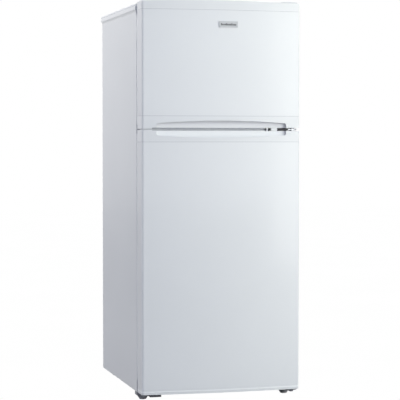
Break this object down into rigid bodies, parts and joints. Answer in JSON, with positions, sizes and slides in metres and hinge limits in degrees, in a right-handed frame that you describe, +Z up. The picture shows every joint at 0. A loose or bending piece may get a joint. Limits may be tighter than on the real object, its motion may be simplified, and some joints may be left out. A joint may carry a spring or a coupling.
{
  "type": "top freezer refrigerator",
  "caption": "Compact free-standing refrigerator with a freezer above, bow-fronted doors with recessed grips between them, interior fittings and an exposed rear condenser.",
  "frame": {"origin": "under the middle of the whole object's box, at floor level", "axes": "+Z up, doors face -Y, hinges on the +X side"},
  "size_m": [0.48, 0.6156, 1.1599],
  "materials": {
    "white_paint": "satin enamel",
    "galvanised_steel": "dull zinc",
    "white_plastic": "semi-gloss",
    "foam": "cellular",
    "liner_plastic": "semi-gloss",
    "black_paint": "satin",
    "rubber": "matt",
    "black_plastic": "matt",
    "copper": "drawn",
    "aluminium": "rolled",
    "evaporator_coat": "satin",
    "bulb_glass": "frosted",
    "lens_plastic": "translucent",
    "coated_wire": "dipped",
    "glass": "polished",
    "hinge_steel": "zinc plated",
    "knob_plastic": "semi-gloss",
    "drawer_plastic": "clear",
    "foot_plastic": "matt",
    "dark_steel": "grey primer",
    "cap_plastic": "semi-gloss",
    "gasket_rubber": "soft vinyl",
    "bin_plastic": "clear",
    "silver_plastic": "glossy light grey"
  },
  "bodies": {
    "cabinet": {"side_panel_left": "white_paint", "side_panel_right": "white_paint", "back_panel": "galvanised_steel", "base_pan": "galvanised_steel", "top_cover": "white_plastic", "cabinet_foam": "foam", "freezer_liner": "liner_plastic", "fridge_liner": "liner_plastic", "mullion_rail": "white_paint", "front_base_rail": "dark_steel", "compressor_base_plate": "galvanised_steel", "compressor": "black_paint", "compressor_grommets": "rubber", "start_relay_cover": "black_plastic", "drip_tray": "black_plastic", "condenser": "black_paint", "condenser_brackets": "galvanised_steel", "filter_drier": "copper", "refrigerant_lines": "copper", "freezer_evaporator": "aluminium", "fridge_evaporator": "evaporator_coat", "drain_tube": "liner_plastic", "thermostat_housing": "liner_plastic", "lamp_bulb": "bulb_glass", "lamp_lens": "lens_plastic", "door_switch_body": "liner_plastic", "freezer_wire_shelf": "coated_wire", "upper_glass_shelf": "glass", "lower_glass_shelf": "glass", "crisper_glass_cover": "glass", "shelf_front_trims": "liner_plastic", "top_hinge_bracket": "hinge_steel", "middle_hinge_bracket": "hinge_steel", "bottom_hinge_bracket": "dark_steel", "cabinet_screws": "hinge_steel"},
    "freezer_door": {"freezer_door_skin": "white_paint", "freezer_door_top_cap": "cap_plastic", "freezer_door_bottom_cap": "cap_plastic", "freezer_door_liner": "liner_plastic", "freezer_door_foam": "foam", "freezer_door_gasket": "gasket_rubber", "freezer_door_bin": "bin_plastic", "badge_plate": "silver_plastic", "freezer_handle_trim": "silver_plastic"},
    "fridge_door": {"fridge_door_skin": "white_paint", "fridge_door_top_cap": "cap_plastic", "fridge_door_bottom_cap": "cap_plastic", "fridge_door_liner": "liner_plastic", "fridge_door_foam": "foam", "fridge_door_gasket": "gasket_rubber", "fridge_door_bins": "bin_plastic", "bottle_bin": "bin_plastic", "fridge_handle_trim": "silver_plastic"},
    "thermostat_knob": {"thermostat_knob": "knob_plastic"},
    "door_switch_plunger": {"door_switch_plunger": "white_plastic"},
    "crisper_drawer": {"crisper_drawer": "drawer_plastic"},
    "front_foot_left": {"front_foot_left": "foot_plastic"},
    "front_foot_right": {"front_foot_right": "foot_plastic"},
    "rear_roller_left": {"rear_roller_left": "foot_plastic"},
    "rear_roller_right": {"rear_roller_right": "foot_plastic"}
  },
  "joints": [
    {"name": "freezer_door_hinge", "type": "hinge", "parent": "cabinet", "child": "freezer_door", "pos_m": [0.222, -0.263, 0.98], "axis": [0, 0, 1], "range_deg": [0, 135]},
    {"name": "fridge_door_hinge", "type": "hinge", "parent": "cabinet", "child": "fridge_door", "pos_m": [0.222, -0.263, 0.4], "axis": [0, 0, 1], "range_deg": [0, 135]},
    {"name": "thermostat_turn", "type": "hinge", "parent": "cabinet", "child": "thermostat_knob", "pos_m": [0.16, -0.095, 0.74], "axis": [0, -1, 0], "range_deg": [0, 300]},
    {"name": "crisper_slide", "type": "slide", "parent": "cabinet", "child": "crisper_drawer", "axis": [0, -1, 0], "range_m": [0, 0.018]},
    {"name": "door_switch_press", "type": "slide", "parent": "cabinet", "child": "door_switch_plunger", "axis": [0, -1, 0], "range_m": [0, 0.0082]},
    {"name": "front_foot_left_level", "type": "slide", "parent": "cabinet", "child": "front_foot_left", "axis": [0, 0, -1], "range_m": [0, 0.012]},
    {"name": "front_foot_right_level", "type": "slide", "parent": "cabinet", "child": "front_foot_right", "axis": [0, 0, -1], "range_m": [0, 0.012]},
    {"name": "rear_roller_left_spin", "type": "hinge", "parent": "cabinet", "child": "rear_roller_left", "pos_m": [-0.2, 0.25, 0.01], "axis": [1, 0, 0], "continuous": true},
    {"name": "rear_roller_right_spin", "type": "hinge", "parent": "cabinet", "child": "rear_roller_right", "pos_m": [0.2, 0.25, 0.01], "axis": [1, 0, 0], "continuous": true}
  ],
  "couplings": [
    {"joint": "door_switch_press", "follows": "fridge_door_hinge", "m_per_rad": 0.0034}
  ]
}
